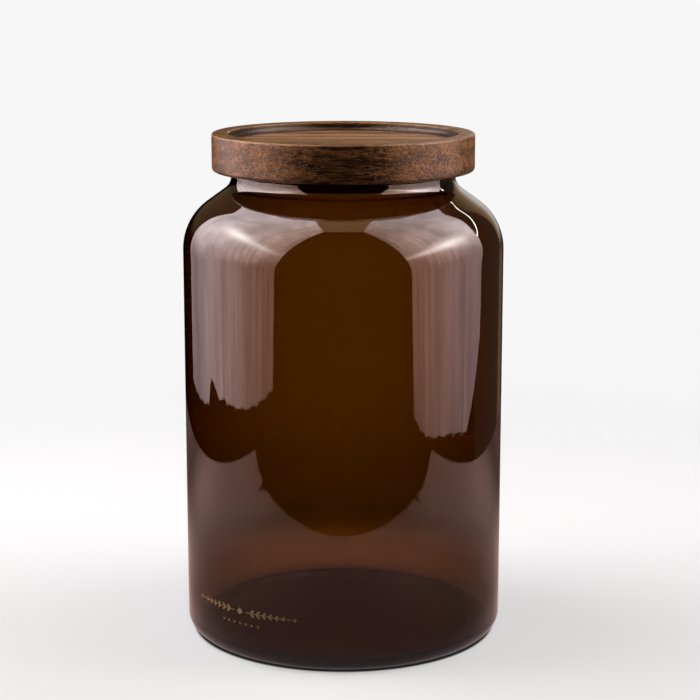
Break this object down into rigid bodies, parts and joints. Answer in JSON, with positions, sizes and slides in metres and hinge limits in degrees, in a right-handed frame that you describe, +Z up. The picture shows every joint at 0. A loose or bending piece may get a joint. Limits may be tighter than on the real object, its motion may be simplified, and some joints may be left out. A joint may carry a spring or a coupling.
{
  "type": "apothecary jar",
  "caption": "Round storage jar in dark amber glass with a straight body, rounded shoulder and short neck, closed by a lift-off turned wooden lid with a shallow tray top and a soft seal.",
  "frame": {"origin": "centre of the base, on the surface the jar stands on", "axes": "+Z up along the jar's axis, towards the lid; +X and +Y are any two directions across it, with the printed ornament on the -Y side"},
  "size_m": [0.13, 0.13, 0.2055],
  "materials": {
    "amber_glass": "clear smoky amber glass, fire-polished, smooth and glossy",
    "lid_wood": "dark brown stained hardwood, turned and sanded, satin oil, open pores, paler on its edges",
    "plug_wood": "the same wood in a darker matt stain",
    "seal_silicone": "black soft silicone, semi-matt",
    "gold_print": "thin printed ornament in muted gold ink, fired on the glass, satin"
  },
  "bodies": {
    "root": {"glass_jar": "amber_glass"},
    "seal": {"seal_ring": "seal_silicone"},
    "lid": {"lid_disc": "lid_wood", "lid_plug": "plug_wood"}
  },
  "joints": [
    {"name": "lid_lift", "type": "slide", "parent": "root", "child": "seal", "axis": [0, 0, 1], "range_m": [0, 0.045]},
    {"name": "lid_turn", "type": "hinge", "parent": "seal", "child": "lid", "pos_m": [0, 0, 0.1904], "axis": [0, 0, 1], "continuous": true}
  ]
}
